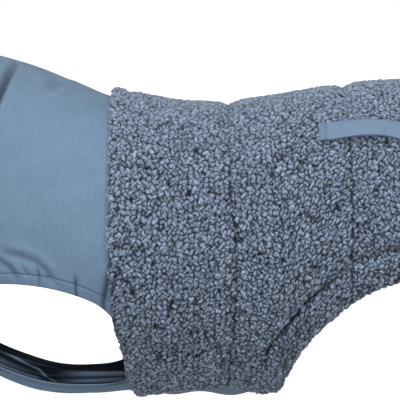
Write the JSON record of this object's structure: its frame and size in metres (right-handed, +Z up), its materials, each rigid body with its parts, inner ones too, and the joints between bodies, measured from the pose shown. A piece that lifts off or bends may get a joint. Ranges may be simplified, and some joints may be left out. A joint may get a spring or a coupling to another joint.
{
  "type": "dog winter coat",
  "caption": "Pull-on winter coat for a dog, filled out as if worn: smooth woven front with leg openings, thick quilted fleece over the back and a tape strap on the flank.",
  "frame": {"origin": "inner face of the back at the withers, where the coat lies on the dog", "axes": "+X from head to tail, +Z up, -Y the dog's left side"},
  "size_m": [0.5452, 0.193, 0.2639],
  "materials": {
    "woven_shell": "fine matt weave",
    "elastic_binding": "fine matt weave, slightly gathered",
    "teddy_fleece": "curly pile",
    "strap_tape": "smooth flat tape"
  },
  "bodies": {
    "root": {"yoke": "woven_shell", "chest_panel": "woven_shell", "leg_binding_left": "elastic_binding", "leg_binding_right": "elastic_binding", "saddle": "teddy_fleece", "back_strap": "strap_tape"}
  },
  "joints": []
}
